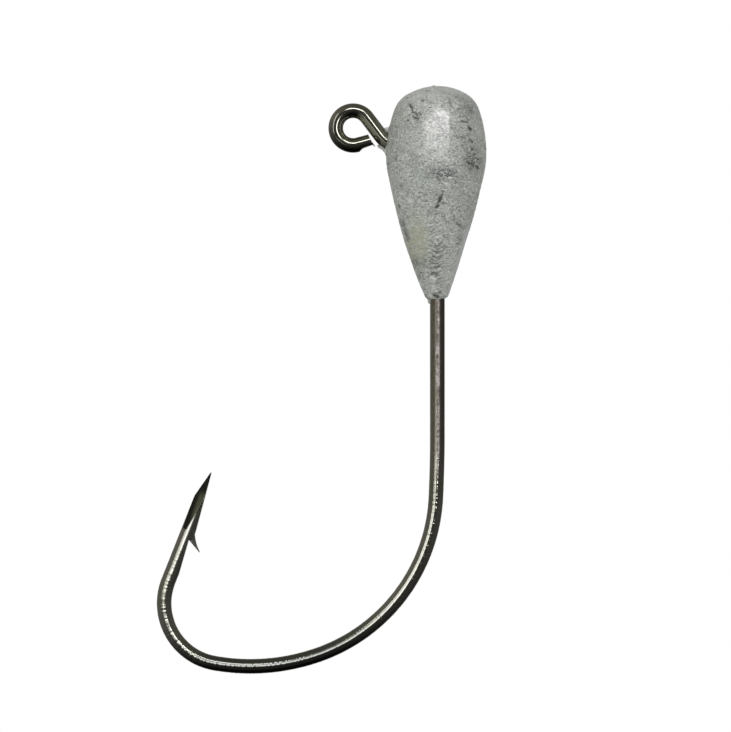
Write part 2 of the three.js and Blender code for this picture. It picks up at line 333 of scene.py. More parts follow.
def pointed_faces(rings, sides):
    """Ring faces, closed at each end by a middle point. Those are the last two points."""
    first_middle = rings * sides
    last = (rings - 1) * sides
    faces = ring_faces(rings, sides)
    faces += [(first_middle, k, j) for j, k in round_pairs(sides)]
    faces += [(first_middle + 1, last + j, last + k) for j, k in round_pairs(sides)]
    return faces


def vectors_of(made, kind):
    values = np.empty(len(made.data.vertices) * 3)
    made.data.vertices.foreach_get(kind, values)
    return values.reshape(-1, 3)


def points_of(made):
    return vectors_of(made, "co") / MM


def set_points(made, points):
    made.data.vertices.foreach_set("co", (points * MM).ravel())
    made.data.update()


def add_attributes(made, fields):
    """Values for each point, which the materials read by name."""
    for name, values in fields.items():
        attribute = made.data.attributes.new(name, "FLOAT", "POINT")
        attribute.data.foreach_set("value", values.astype(np.float32))


def apply_modifiers(made):
    graph = bpy.context.evaluated_depsgraph_get()
    mesh = bpy.data.meshes.new_from_object(made.evaluated_get(graph))
    made.modifiers.clear()
    old = made.data
    made.data = mesh
    mesh.name = made.name
    bpy.data.meshes.remove(old)
    mesh.shade_smooth()


def boolean(made, other, operation):
    """Joins or cuts with another solid, which is then gone."""
    modifier = made.modifiers.new("Boolean", "BOOLEAN")
    modifier.operation = operation
    modifier.solver = "MANIFOLD"
    modifier.object = other
    apply_modifiers(made)
    bpy.data.objects.remove(other)


def plate(name, outline, thickness):
    """A flat plate in the plane of the hook, from x, z corners."""
    points = [(x, y, z) for y in (-thickness / 2, thickness / 2) for x, z in outline]
    return make_solid(name, points, capped_faces(2, len(outline)))


def lump(name, centre, size):
    """A closed round lump."""
    points = []
    for i in range(1, LUMP_RINGS):
        down = pi * i / LUMP_RINGS
        for turn in angles(LUMP_SIDES):
            way = (sin(down) * cos(turn), sin(down) * sin(turn), cos(down))
            points.append([c + s * w for c, s, w in zip(centre, size, way)])
    points += [(centre[0], centre[1], centre[2] + size[2]), (centre[0], centre[1], centre[2] - size[2])]
    return make_solid(name, points, pointed_faces(LUMP_RINGS - 1, LUMP_SIDES))


def coat(made, material):
    made.data.materials.clear()
    made.data.materials.append(material)


# The wire's path

# Lengths along the wire at which its stretches start, and at which it ends
Starts = namedtuple("Starts", "end neck shank bend point tip")


def path(x, z, heading, pieces, step):
    """Places on a run of straights and bends, as rows of x, z and heading, with its end."""
    rows = []
    h = radians(heading)
    for size, *turns in pieces:
        turn = radians(turns[0]) if turns else 0.0
        length = size * abs(turn) if turns else size
        share = np.arange(max(2, round(length / step)) + 1)
        share = share / share[-1]
        if turns:
            radius = length / turn
            xs = x + radius * (np.sin(h + turn * share) - sin(h))
            zs = z - radius * (np.cos(h + turn * share) - cos(h))
        else:
            xs = x + cos(h) * length * share
            zs = z + sin(h) * length * share
        rows.append(np.stack([xs, zs, h + turn * share], 1)[:-1])
        x, z, h = xs[-1], zs[-1], h + turn
    return np.concatenate(rows), (x, z, degrees(h))


def beside(x, z, heading, left):
    """The places that lie some way to the left of the path."""
    return x - np.sin(heading) * left, z + np.cos(heading) * left


def eye_place(around):
    return EYE_RADIUS * cos(radians(around)), EYE_RADIUS * sin(radians(around))


def lengths_along(rows):
    steps = np.hypot(np.diff(rows[:, 0]), np.diff(rows[:, 1]))
    return np.concatenate([[0], np.cumsum(steps)])


def wire_path():
    """The wire from its cut end to its tip, as rows of x, z, heading and length, and where its stretches start."""
    heading = NECK_HEADING + EYE_WRAP
    x, z = eye_place(heading + 90)
    x -= EYE_END * cos(radians(heading))
    z -= EYE_END * sin(radians(heading))
    end = (x, z, heading)
    stretches = []
    for pieces, step in (
        ([(EYE_END,), (EYE_RADIUS, -EYE_WRAP)], EYE_STEP),
        (NECK, EYE_STEP),
        (SHANK, COARSE_STEP),
        (BEND, FINE_STEP),
        (POINT, FINE_STEP),
    ):
        rows, end = path(*end, pieces, step)
        stretches.append(rows)
    rows = np.concatenate(stretches + [np.array([[end[0], end[1], radians(end[2])]])])
    length = lengths_along(rows)
    first = np.cumsum([0] + [len(stretch) for stretch in stretches])
    return np.column_stack([rows, length]), Starts(*length[first])


# The hook's shape


def heading_vector(heading):
    return np.array([cos(radians(heading)), 0, sin(radians(heading))])


def cut_start(x, z, heading):
    """How far along a straight line from x, z the cut end of the eye begins."""
    ahead = (cos(heading), sin(heading))
    out_x, _, out_z = heading_vector(CUT_HEADING)
    slant = (CUT_DISTANCE - x * out_x - z * out_z) / (ahead[0] * out_x + ahead[1] * out_z)
    dx, dz = x - BITE[0], z - BITE[1]
    along = dx * ahead[0] + dz * ahead[1]
    inside = along * along - dx * dx - dz * dz + BITE_RADIUS * BITE_RADIUS
    bite = np.where(inside > 0, -along + np.sqrt(np.maximum(inside, 0)), -inf)
    return np.maximum(slant, bite)


def on_eye_end(first_row, left, side, share):
    """Places in x and z on the eye's straight end, at a share of the way from its cut to the ring."""
    heading = first_row[2]
    x, z = beside(*first_row[:3], left)
    start = cut_start(x, z, heading) + CUT_TILT * np.maximum(-side, 0)
    along = start + (EYE_END - start) * share
    return x + cos(heading) * along, z + sin(heading) * along


def ridge_depth(back):
    """How far out the ridge of the two facets would lie: straight at first, and then flatter."""
    slope = tan(radians(RIDGE_SLOPE))
    reach = WIRE_RADIUS / cos(radians(FACET_ANGLE))
    first = TIP_ROUND - TIP_INWARD + slope * np.minimum(back, RIDGE_STRAIGHT)
    beyond = np.maximum(back - RIDGE_STRAIGHT, 0)
    span = RIDGE_END - RIDGE_STRAIGHT
    rise = reach - (TIP_ROUND - TIP_INWARD + slope * RIDGE_STRAIGHT)
    bow = (slope * span - rise) / span**2
    return first + slope * beyond - bow * np.minimum(beyond, span) ** 2


def section(back, angle):
    """In-plane and sideways places of a section of the wire: inward is below zero."""
    ridge = ridge_depth(back)
    inner = TIP_INWARD + TIP_ROUND + back * tan(radians(INNER_SLOPE))
    middle = (np.minimum(ridge, WIRE_RADIUS) - np.minimum(inner, WIRE_RADIUS)) / 2
    ca, sa = np.cos(angle), np.sin(angle)
    reach = -middle * ca + np.sqrt(WIRE_RADIUS**2 - (middle * sa) ** 2)
    soft = np.minimum(EDGE_SOFTNESS, SOFTNESS_SLOPE * (back + SOFTNESS_START))
    across, beside = cos(radians(FACET_ANGLE)), sin(radians(FACET_ANGLE))
    facet = ridge * across
    for out, side, far in ((across, beside, facet), (across, -beside, facet), (-1.0, 0.0, inner)):
        toward = out * ca + side * sa
        other = (far - out * middle) / np.maximum(toward, ALMOST_NONE)
        other = np.where(toward > ALMOST_NONE, other, FAR_OFF)
        near = np.clip((soft - np.abs(reach - other)) / soft, 0, 1)
        reach = np.minimum(reach, other) - near * near * soft / 4
    return middle + reach * ca, reach * sa


def layered(length, angle, layers):
    """Noise on the wire's surface, from one or more layers."""
    ca, sa = np.cos(angle), np.sin(angle)
    total = np.zeros(len(length))
    for size, fineness, along, across, share in layers:
        total += share * noise_at(np.stack([length / size + along, ca * fineness + across, sa * fineness], 1))
    return total


def wire_relief(length, angle, starts):
    """Small unevenness of the drawn and bent wire, in millimetres outward."""
    in_bend = smooth(*RIPPLES_RISE, length - starts.bend) * (1 - smooth(*RIPPLES_FALL, length - starts.tip))
    in_shank = smooth(*GRAINS_RISE, length - starts.shank) * (1 - smooth(*GRAINS_FALL, length - starts.bend))
    ripples = RIPPLE_HEIGHT * layered(length, angle, RIPPLES) * in_bend
    return ripples + GRAIN_HEIGHT * layered(length, angle, GRAINS) * in_shank


def scooped(back, left):
    """The section's inward side, less the shallow slope from which the barb was cut."""
    crotch_back, crotch_inward = BARB_CROTCH
    floor = crotch_inward + (WIRE_RADIUS - crotch_inward) * (back - crotch_back) / (SCOOP_START - crotch_back)
    in_scoop = (back > crotch_back) & (back < SCOOP_START)
    return np.where(in_scoop, np.maximum(left, -floor), left)


def wire_surface(rows, starts):
    """Points of the wire's side, ring by ring, up to the tip."""
    ring, spoke = np.meshgrid(np.arange(len(rows) - 1), np.arange(WIRE_SIDES), indexing="ij")
    ring, angle = ring.ravel(), angles(WIRE_SIDES)[spoke.ravel()]
    x, z, heading, length = rows[ring].T
    back = starts.tip - length
    left, side = section(back, angle)
    swell = 1 + wire_relief(length, angle, starts) / np.hypot(left, side)
    left, side = scooped(back, left * swell), side * swell
    x, z = beside(x, z, heading, left)
    ends = ring < round(EYE_END / EYE_STEP)
    x[ends], z[ends] = on_eye_end(rows[0], left[ends], side[ends], length[ends] / EYE_END)
    return np.stack([x, side, z], 1)


def cut_face(first_row, base):
    """Points and faces that close the eye's slanted end."""
    points, faces = [], []
    angle = angles(WIRE_SIDES)
    previous = 0
    for ring in range(1, CUT_RINGS):
        size = WIRE_RADIUS * (1 - ring / CUT_RINGS)
        side = size * np.sin(angle)
        x, z = on_eye_end(first_row, size * np.cos(angle), side, 0.0)
        points.append(np.stack([x, side, z], 1))
        start = base + (ring - 1) * WIRE_SIDES
        faces += [(previous + k, previous + j, start + j, start + k) for j, k in round_pairs(WIRE_SIDES)]
        previous = start
    middle = np.zeros(1)
    x, z = on_eye_end(first_row, middle, middle, 0.0)
    points.append(np.stack([x, middle, z], 1))
    centre = base + (CUT_RINGS - 1) * WIRE_SIDES
    faces += [(previous + k, previous + j, centre) for j, k in round_pairs(WIRE_SIDES)]
    return np.concatenate(points), faces


def wire_mesh(rows, starts):
    """The wire as one closed solid, without its barb."""
    surface = wire_surface(rows, starts)
    end_points, end_faces = cut_face(rows[0], len(surface))
    x, z = beside(*rows[-1, :3], -TIP_INWARD)
    points = np.concatenate([surface, end_points, [[x, 0, z]]])
    rings = len(rows) - 1
    last = (rings - 1) * WIRE_SIDES
    faces = ring_faces(rings, WIRE_SIDES) + end_faces
    faces += [(last + j, last + k, len(points) - 1) for j, k in round_pairs(WIRE_SIDES)]
    return make_solid("jig_hook_wire", points, faces)


def between(start, end, share):
    """The place at a share of the way from one to another."""
    return [a + (b - a) * share for a, b in zip(start, end)]


def barb_edges(t):
    """The outer and lower edges of the barb at a share of its length."""
    outer = between(BARB_ROOT, BARB_TIP, t)
    outer = [place + bow * 4 * t * (1 - t) for place, bow in zip(outer, BARB_BOW)]
    if t <= BARB_BURIED:
        return outer, between(BARB_ANCHOR, BARB_CROTCH, t / BARB_BURIED)
    low_tip = (BARB_TIP[0] + BARB_TIP_DROP, BARB_TIP[1] - BARB_TIP_DROP)
    return outer, between(BARB_CROTCH, low_tip, (t - BARB_BURIED) / (1 - BARB_BURIED))


def barb_mesh(wire_end):
    """The raised chip: round outside, and flat on the side that the cutter lifted."""
    x, z, heading = wire_end
    points = []
    for t in np.linspace(0, 1, BARB_SECTIONS):
        outer, lower = barb_edges(t)
        half = BARB_HALF_WIDTH * (1 - t) ** BARB_TAPER + BARB_TIP_HALF_WIDTH
        for angle in angles(BARB_SIDES):
            ca = cos(angle)
            up = max(0.0, ca) ** BARB_ROUNDNESS * (1 - BARB_UNDERSIDE) + BARB_UNDERSIDE * (1 + ca) / 2
            back, inward = between(lower, outer, up)
            points.append((
                x - cos(heading) * back + sin(heading) * inward,
                half * sin(angle),
                z - sin(heading) * back - cos(heading) * inward,
            ))
    return make_solid("barb", points, capped_faces(BARB_SECTIONS, BARB_SIDES))


# The hook's marks

# Where each point lies: its length along the wire, how far left of its middle, how far back from the tip, and how
# much it faces the front
OnWire = namedtuple("OnWire", "points length left back facing")


def nearest_on_path(points, rows):
    """Which row of the wire's path is nearest to each point."""
    tree = kdtree.KDTree(len(rows))
    for i, (x, z, _, _) in enumerate(rows.tolist()):
        tree.insert((x, 0, z), i)
    tree.balance()
    return np.array([tree.find((p[0], 0, p[2]))[1] for p in points.tolist()])


def places_on_wire(hook, rows, starts):
    points = points_of(hook)
    x, z, heading, length = rows[nearest_on_path(points, rows)].T
    left = -(points[:, 0] - x) * np.sin(heading) + (points[:, 2] - z) * np.cos(heading)
    return OnWire(points, length, left, starts.tip - length, smooth(0, FACING_RISE, -points[:, 1]))


def line_along(left, line, power=2):
    """1 on a line along the wire, falling to 0 on both sides of it."""
    middle, half = line
    return np.exp(-((left - middle) / half) ** power)


def shank_marks(at, starts):
    """The shank's painted lines: painted shade down its left side, a pale painted highlight, a thin painted glint
    beside it and painted shade on its dark right side; where the wire is bent; and painted shade that dims the bend's
    bottom.
    """
    uneven = np.stack([at.length / STREAK_LENGTH, at.left * STREAK_FINENESS, at.points[:, 1]], 1)
    wandering = at.left + sum(share * noise_at(uneven * scale + shift) for scale, shift, share in WANDER)
    breaks = noise_at(np.stack([at.length / GLINT_BREAKS, at.length * 0, at.length * 0], 1))
    return {
        # Painted shade down the shank's left side
        "shade_line": at.facing * line_along(wandering, SHADE_LINE),
        # A pale painted highlight down the shank's front
        "streak": at.facing * line_along(wandering, STREAK_LINE, 4),
        # A thin painted glint beside the pale streak
        "glint_line": GLINT_STRENGTH * at.facing * line_along(at.left, GLINT_LINE) * smooth(*BREAK_RISE, breaks),
        # Painted shade on the shank's dark right side
        "shade": at.facing * smooth(*SHADE_EDGE, at.left),
        "bent": smooth(*BENT_RISE, at.length - starts.bend),
        # Painted shade that dims the bend's bottom
        "bottom_shade": within(*BOTTOM_SHADE, at.length - starts.bend),
    }


def eye_marks(hook, at, starts):
    """Where the eye is, painted shade on its inside and underside, its bare cut end, and a painted olive reflection
    along the neck.
    """
    x, _, z = at.points.T
    around = np.degrees(np.arctan2(z, x))
    on_ring = (at.length > EYE_END) & (at.length < starts.neck)
    inside = smooth(*INSIDE_SHADE_EDGE, EYE_RADIUS - np.hypot(x, z)) * on_ring
    in_neck = within(*NECK_REFLECTION_STRETCH, at.length - starts.neck)
    facing_cut = vectors_of(hook, "normal") @ heading_vector(CUT_HEADING)
    return {
        "eye": 1 - smooth(*EYE_FALL, at.length - starts.shank),
        # Painted shade on the inside of the eye
        "eye_inside_shade": at.facing * inside * line_along(around, INSIDE_SHADE_ARC),
        # Painted shade under the eye
        "eye_under_shade": at.facing * smooth(*UNDER_EDGE, at.left) * (1 - smooth(*UNDER_FALL, at.length - EYE_END)),
        # A painted olive reflection along the neck
        "neck_reflection": at.facing * in_neck * line_along(at.left, NECK_REFLECTION_LINE, 4),
        "cut": smooth(*CUT_FACING, facing_cut) * (at.length < EYE_END) * (z > CUT_LOWEST),
    }


def point_marks(at):
    """The dark ground facets, whose dark reaches a little over the round wire beside them as painted shade, most near
    the tip; a painted reflection on the facets' middle; and the barb.
    """
    facet = radians(FACET_ANGLE)
    ridge = ridge_depth(np.maximum(at.back, 0)) * cos(facet)
    beyond = at.left * cos(facet) + np.abs(at.points[:, 1]) * sin(facet) - ridge
    near_point = at.back < RIDGE_END + GROUND_BEYOND
    margin = GROUND_MARGIN * (1 - smooth(*MARGIN_FALL, at.back))
    # Where the painted reflection on the facets' middle lies
    middle = within(*FACET_REFLECTION_SPAN, at.back) * (1 - smooth(*FACET_REFLECTION_EDGE, at.left + FACET_REFLECTION_DRIFT * at.back))
    return {
        # The dark ground facets, reaching a little over the round wire beside them as painted shade
        "ground": smooth(*GROUND_EDGE, beyond + margin) * near_point,
        # A painted reflection on the facets' middle
        "facet_reflection": smooth(*FACET_EDGE, beyond) * near_point * middle,
        "barb": smooth(*BARB_RISE, -at.left - WIRE_RADIUS),
    }


def build_hook():
    rows, starts = wire_path()
    hook = wire_mesh(rows, starts)
    boolean(hook, barb_mesh(rows[-1, :3]), "UNION")
    boolean(hook, plate("burr", BURR, BURR_THICKNESS), "UNION")
    at = places_on_wire(hook, rows, starts)
    add_attributes(hook, {"along": at.length, "across": at.left})
    add_attributes(hook, shank_marks(at, starts))
    add_attributes(hook, eye_marks(hook, at, starts))
    add_attributes(hook, point_marks(at))
    hook.data.set_sharp_from_angle(angle=radians(SHARP_ANGLE))
    return hook


# The head's shape


def midline(z):
    """Where the middle of the casting lies: it wanders a little, as its two mould halves did."""
    return float(np.interp(z, MIDLINE_HEIGHTS, MIDLINE))


def turned_head():
    """The turned body, before anything is added to it."""
    profile, end = path(0, HEAD_TOP, 0, HEAD_BENDS, HEAD_STEP)
    profile = profile[1:, :2].tolist() + [[end[0], end[1]]] + TAIL_LIP
    lip, lowest = TAIL_LIP[-1]
    profile += [[r, lowest] for r in np.linspace(lip, 0, TAIL_RINGS)[1:-1]]
    angle = angles(HEAD_SIDES)
    points = []
    for r, z in profile:
        points.append(np.stack([midline(z) + r * np.cos(angle), r * np.sin(angle), np.full(HEAD_SIDES, z)], 1))
    points.append(np.array([[midline(z), 0, z] for z in (HEAD_TOP, lowest)]))
    return make_solid("lead_head_casting", np.concatenate(points), pointed_faces(len(profile), HEAD_SIDES))


def sleeve(name, radius, first, last):
    """A round bar along part of the neck and shank."""
    x, z = eye_place(NECK_HEADING + 90)
    rows, _ = path(x, z, NECK_HEADING, NECK + [(SLEEVE_SHANK,)], COARSE_STEP)
    length = lengths_along(rows)
    rows = rows[(length >= first) & (length <= last)]
    left = radius * np.cos(angles(SLEEVE_SIDES))
    side = radius * np.sin(angles(SLEEVE_SIDES))
    places = [beside(*row, left) for row in rows]
    points = [np.stack([x, side, z], 1) for x, z in places]
    return make_solid(name, np.concatenate(points), capped_faces(len(rows), SLEEVE_SIDES))


def soften(head):
    """Runs the joined pieces together into one casting with soft inner corners."""
    remesh = head.modifiers.new("Remesh", "REMESH")
    remesh.mode = "VOXEL"
    remesh.voxel_size = VOXEL * MM
    apply_modifiers(head)
    relax = head.modifiers.new("Smooth", "SMOOTH")
    relax.factor = RELAX_FACTOR
    relax.iterations = RELAX_TIMES
    apply_modifiers(head)


def build_head():
    head = turned_head()
    for name, (outline, thickness) in FLASHES.items():
        boolean(head, plate(name, outline, thickness), "UNION")
    boolean(head, sleeve("collar", *COLLAR), "UNION")
    for name, (centre, size) in LUMPS.items():
        boolean(head, lump(name, centre, size), "UNION")
    soften(head)
    shape_surface(head)
    boolean(head, sleeve("wire_way", *WIRE_WAY), "DIFFERENCE")
    paint_marks(head)
    return head


# The head's marks


def ragged(points):
    """The points moved about a little, for uneven edges. Those behind are mirrored too, so that the back differs."""
    shifts = [sum(share * noise_at(points / size + shift * k) for size, shift, share in RAGGED_NOISE)
              for k in range(1, 4)]
    moved = points + RAGGEDNESS * np.stack(shifts, 1)
    behind = points[:, 1] > BACK_START
    moved[behind, 0] = 2 * HEAD_AXIS - moved[behind, 0]
    moved[behind, 2] += BACK_SHIFT
    return moved


def marked_sides(points):
    """Where marks show: all of the front, less strongly the back, and not the narrow edge between them."""
    front = smooth(-BACK_START, BACK_START, -points[:, 1])
    return np.maximum(front, BACK_STRENGTH * smooth(BACK_START, BACK_RISE, points[:, 1]))


def stroke(points, places, width):
    """How near each point is to a drawn line, from 1 on it to 0 away from it."""
    x, z = points[:, 0], points[:, 2]
    nearest = np.full(len(points), inf)
    places = list(zip(places[::2], places[1::2]))
    for (x1, z1), (x2, z2) in zip(places, places[1:] or places):
        dx, dz = x2 - x1, z2 - z1
        span = dx * dx + dz * dz
        t = np.clip(((x - x1) * dx + (z - z1) * dz) / span, 0, 1) if span else 0
        nearest = np.minimum(nearest, np.hypot(x - x1 - t * dx, z - z1 - t * dz))
    return np.exp(-(nearest / width) ** 2) * marked_sides(points)


def patch(points, x, z, width, height):
    """How near each point is to the middle of an oval patch, from 1 in it to 0 away from it."""
    d = ((points[:, 0] - x) / width) ** 2 + ((points[:, 2] - z) / height) ** 2
    return np.exp(-d) * marked_sides(points)


def wrinkles(points):
    """The cold-flow waves across the tail, from -1 to 1."""
    size, height = WRINKLE_BEND
    bend = noise_at(points / size) * height
    slant = WRINKLE_SLANT * np.abs(points[:, 0] - WRINKLES[0])
    waves = np.sin((points[:, 2] - slant + bend) * 2 * pi / WRINKLE_LENGTH)
    return waves * patch(points, *WRINKLES)


def shape_surface(head):
    """Casting texture, pits and cold-flow wrinkles, all as real relief."""
    points = points_of(head)
    marked = ragged(points)
    relief = WRINKLE_HEIGHT * wrinkles(points)
    for size, shift, height in CAST_NOISE:
        relief += height * noise_at(points / np.array(size) + shift)
    for height, drawn in ((-PIT_DEPTH, PITS), (FLECK_HEIGHT, FLECKS)):
        for width, strength, *places in drawn:
            relief += height * strength * stroke(marked, places, width)
    set_points(head, points + vectors_of(head, "normal") * relief[:, None])


def sheen_area(points):
    """The painted highlight on the widest part, also made a little smoother there: its right edge is sharp and its
    left one slants.
    """
    x, z = points[:, 0], points[:, 2]
    left_edge = SHEEN_LEFT + SHEEN_SLANT * np.maximum(z, SHEEN_SLANT_FROM)
    painted_sheen = smooth(*SHEEN_LEFT_RISE, x - left_edge) * (1 - smooth(*SHEEN_RIGHT, x))
    return painted_sheen * within(*SHEEN_HEIGHTS, z) * marked_sides(points)


def strongest(fields):
    return np.maximum.reduce(list(fields))


def paint_marks(head):
    points = points_of(head)
    marked = ragged(points)
    dark = strongest(DARK_GAIN * s * stroke(marked, places, width * DARK_WIDTH) for width, s, *places in PITS)
    add_attributes(head, {
        "dark": np.clip(dark, 0, 1),
        "smudge": strongest(s * patch(marked, *oval) for s, *oval in SMUDGES),
        "light": strongest(s * stroke(marked, places, width) for width, s, *places in FLECKS),
        "stain": patch(marked, *STAIN),
        "band": stroke(points, BAND, BAND_WIDTH),
        "wrinkle": wrinkles(points),
        # The top painted paler, as painted light from above
        "top_light": smooth(*TOP_LIGHT_RISE, points[:, 2]),
        # A painted highlight on the widest part
        "painted_sheen": sheen_area(points),
    })


# Materials


class Nodes:
    """Short ways to make nodes in one material or world."""

    def __init__(self, owner):
        owner.use_nodes = True
        self.tree = owner.node_tree
        self.tree.nodes.clear()

    def add(self, kind, inputs=None, **settings):
        node = self.tree.nodes.new(kind)
        for key, value in settings.items():
            setattr(node, key, value)
        for key, value in (inputs or {}).items():
            if isinstance(value, bpy.types.NodeSocket):
                self.tree.links.new(value, node.inputs[key])
            else:
                rgba = node.inputs[key].type == "RGBA"
                node.inputs[key].default_value = (*value, 1) if rgba else value
        return node

    def place(self):
        return self.add("ShaderNodeTexCoord").outputs["Object"]

    def attribute(self, name):
        return self.add("ShaderNodeAttribute", attribute_name=name).outputs["Fac"]

    def math(self, operation, a, b, clamp=False):
        node = self.add("ShaderNodeMath", {0: a, 1: b}, operation=operation)
        node.use_clamp = clamp
        return node.outputs[0]

    def times(self, a, b, clamp=False):
        return self.math("MULTIPLY", a, b, clamp)

    def plus(self, a, b):
        return self.math("ADD", a, b)

    def rest(self, a):
        """What is left of 1."""
        return self.math("SUBTRACT", 1.0, a)

    def mix(self, factor, a, b):
        node = self.add("ShaderNodeMix", {0: factor, 6: a, 7: b}, data_type="RGBA")
        return node.outputs[2]

    def noise(self, vector, scale, detail, rough, distortion=0.0):
        inputs = {"Vector": vector, "Scale": scale, "Detail": detail, "Roughness": rough, "Distortion": distortion}
        return self.add("ShaderNodeTexNoise", inputs).outputs["Fac"]

    def span(self, value, low, high, to_low=0.0, to_high=1.0):
        node = self.add("ShaderNodeMapRange", {0: value, 1: low, 2: high, 3: to_low, 4: to_high})
        return node.outputs[0]

    def bump(self, height, strength, distance):
        inputs = {"Height": height, "Strength": strength, "Distance": distance * MM}
        return self.add("ShaderNodeBump", inputs).outputs[0]

    def marks(self, colour, marks, share=None):
        """The colour with marks over it: an attribute, how strongly it shows, and its colour."""
        for name, strength, mark in marks:
            amount = self.attribute(name) if share is None else self.times(self.attribute(name), share)
            colour = self.mix(self.times(amount, strength), colour, mark)
        return colour

    def surface(self, colour, metallic, rough, normal):
        inputs = {"Base Color": colour, "Metallic": metallic, "Roughness": rough, "Normal": normal}
        shader = self.add("ShaderNodeBsdfPrincipled", inputs)
        self.add("ShaderNodeOutputMaterial", {"Surface": shader.outputs[0]})


# Black nickel: a noise is a scale, a detail and a roughness, and a span says where its effect starts and ends
NICKEL_TONE, TONE_SPAN = (900, 3, 0.6), (0.3, 0.75)
NICKEL_OLIVE, OLIVE_SPAN = (350, 2, 0.5), (0.35, 0.65)
NICKEL_STREAKS = (9, 3, 0.6)
NICKEL_PATCHES = (0.55, 2, 0.5)
NICKEL_MOTTLE, MOTTLE_SPAN = (4200, 3, 0.7), (0.4, 0.6, 0.75, 0)
NICKEL_PITS, PIT_SPAN = (5600, 2, 0.6), (0.34, 0.42, 1, 0)
NICKEL_FINE = (7000, 3, 0.6)
NICKEL_LINES = (30, 2, 0.5)
DRAWN_STRETCH = 0.12
PLATING = (0.365, 0.348, 0.302)
PLATING_OLIVE = (0.34, 0.342, 0.262)
PLATING_DARK, PLATING_DARK_SHARE = (0.2, 0.19, 0.16), 0.25
BROWNED, BROWNED_SPAN, BROWNED_SHARE = (0.21, 0.17, 0.12), (0.42, 0.6), 0.4
# A darker olive line of painted shade down the shank's left side, and where it fades out along the wire
SHADE_LINE_OLIVE, SHADE_LINE_SHARE, SHADE_LINE_FALL = (0.105, 0.094, 0.055), 0.85, (38, 46)
# The shank's pale streak is a painted highlight; brown patches, mottle and pits break it up
STREAK_PALE, PALE_SPAN = (0.72, 0.62, 0.6), (0.38, 0.55, 0.1, 0.85)
STREAK_BROWN, BROWN_SPAN = (0.16, 0.13, 0.1), (0.6, 0.4, 0, 0.6)
STREAK_MOTTLE = (0.12, 0.1, 0.08)
STREAK_PIT = (0.05, 0.045, 0.04)
# Painted shade on the shank's dark right side
SHADE_MARK = ("shade", 0.75, (0.1, 0.08, 0.07))
# A thin painted glint beside the pale streak
GLINT_LINE_MARK = ("glint_line", 1, (0.75, 0.7, 0.64))
WIRE_MARKS = [
    ("barb", 0.6, (0.55, 0.52, 0.46)),
    # Painted shade on the eye's inside
    ("eye_inside_shade", 0.85, (0.05, 0.05, 0.055)),
    # Painted shade under the eye
    ("eye_under_shade", 0.75, (0.05, 0.052, 0.045)),
    # Painted shade that dims the bend's bottom
    ("bottom_shade", 0.6, (0.1, 0.105, 0.11)),
    # A painted olive reflection along the neck
    ("neck_reflection", 0.85, (0.95, 0.97, 0.68)),
    ("cut", 0.8, (0.95, 0.93, 0.88)),
    # The dark ground facets, reaching a little over the round wire beside them as painted shade
    ("ground", 0.95, (0.016, 0.016, 0.014)),
    # A painted reflection on the facets' middle
    ("facet_reflection", 0.8, (0.19, 0.195, 0.125)),
]
ROUGH_DRAWN, ROUGH_POLISHED = 0.36, 0.11
ROUGH_STREAKS = (0.3, 0.7, -0.03, 0.05)
ROUGH_GROUND = 0.2
ROUGH_TO_POINT = (72, 84, 0, 0.08)
FINE_SHARE, LINES_SHARE, POLISHED_RELIEF = 0.6, 0.4, 0.02
NICKEL_BUMP = (0.35, 0.02)


def plating_colour(n, place, streaks, plain):
    """The plating itself: olive clouds, dark specks, and brown lines where it is as drawn."""
    olive = n.span(n.noise(place, *NICKEL_OLIVE), *OLIVE_SPAN)
    colour = n.mix(olive, PLATING, PLATING_OLIVE)
    tone = n.span(n.noise(place, *NICKEL_TONE), *TONE_SPAN)
    colour = n.mix(tone, n.mix(PLATING_DARK_SHARE, colour, PLATING_DARK), colour)
    browned = n.times(n.span(streaks, *BROWNED_SPAN), plain)
    return n.mix(n.times(browned, BROWNED_SHARE), colour, BROWNED)


def shank_colour(n, colour, place, plain, eye):
    """The tarnished line, the dark side, and the worn streak with its patches, mottle and pits."""
    along = n.attribute("along")
    # Painted shade down the shank's left side, fading out before the bend and kept off the eye
    shade_line = n.times(n.attribute("shade_line"), n.rest(n.span(along, *SHADE_LINE_FALL)))
    shade_line = n.times(shade_line, n.rest(eye))
    colour = n.mix(n.times(shade_line, SHADE_LINE_SHARE), colour, SHADE_LINE_OLIVE)
    # Painted shade on the dark right side
    colour = n.marks(colour, [SHADE_MARK], plain)
    # The pale streak is a painted highlight, broken by patches, mottle and pits
    centre = n.times(n.attribute("streak"), plain)
    patches = n.noise(n.add("ShaderNodeCombineXYZ", {0: along}).outputs[0], *NICKEL_PATCHES)
    for amount, mark in (
        (n.span(patches, *PALE_SPAN), STREAK_PALE),
        (n.span(patches, *BROWN_SPAN), STREAK_BROWN),
        (n.span(n.noise(place, *NICKEL_MOTTLE), *MOTTLE_SPAN), STREAK_MOTTLE),
        (n.span(n.noise(place, *NICKEL_PITS), *PIT_SPAN), STREAK_PIT),
    ):
        colour = n.mix(n.times(centre, amount), colour, mark)
    # A thin painted glint beside the pale streak
    return n.marks(colour, [GLINT_LINE_MARK], plain)


def nickel_roughness(n, polished, streaks):
    """Satin where the wire is as drawn, glossier where it is bent, and rougher on the ground facets."""
    rough = n.plus(n.span(polished, 0, 1, ROUGH_DRAWN, ROUGH_POLISHED), n.span(streaks, *ROUGH_STREAKS))
    rough = n.plus(rough, n.times(n.attribute("ground"), ROUGH_GROUND))
    return n.plus(rough, n.span(n.attribute("along"), *ROUGH_TO_POINT))


def nickel_bump(n, place, drawn, polished):
    height = n.plus(n.times(n.noise(place, *NICKEL_FINE), FINE_SHARE),
                    n.times(n.noise(drawn, *NICKEL_LINES), LINES_SHARE))
    height = n.times(height, n.span(polished, 0, 1, 1, POLISHED_RELIEF))
    return n.bump(height, *NICKEL_BUMP)


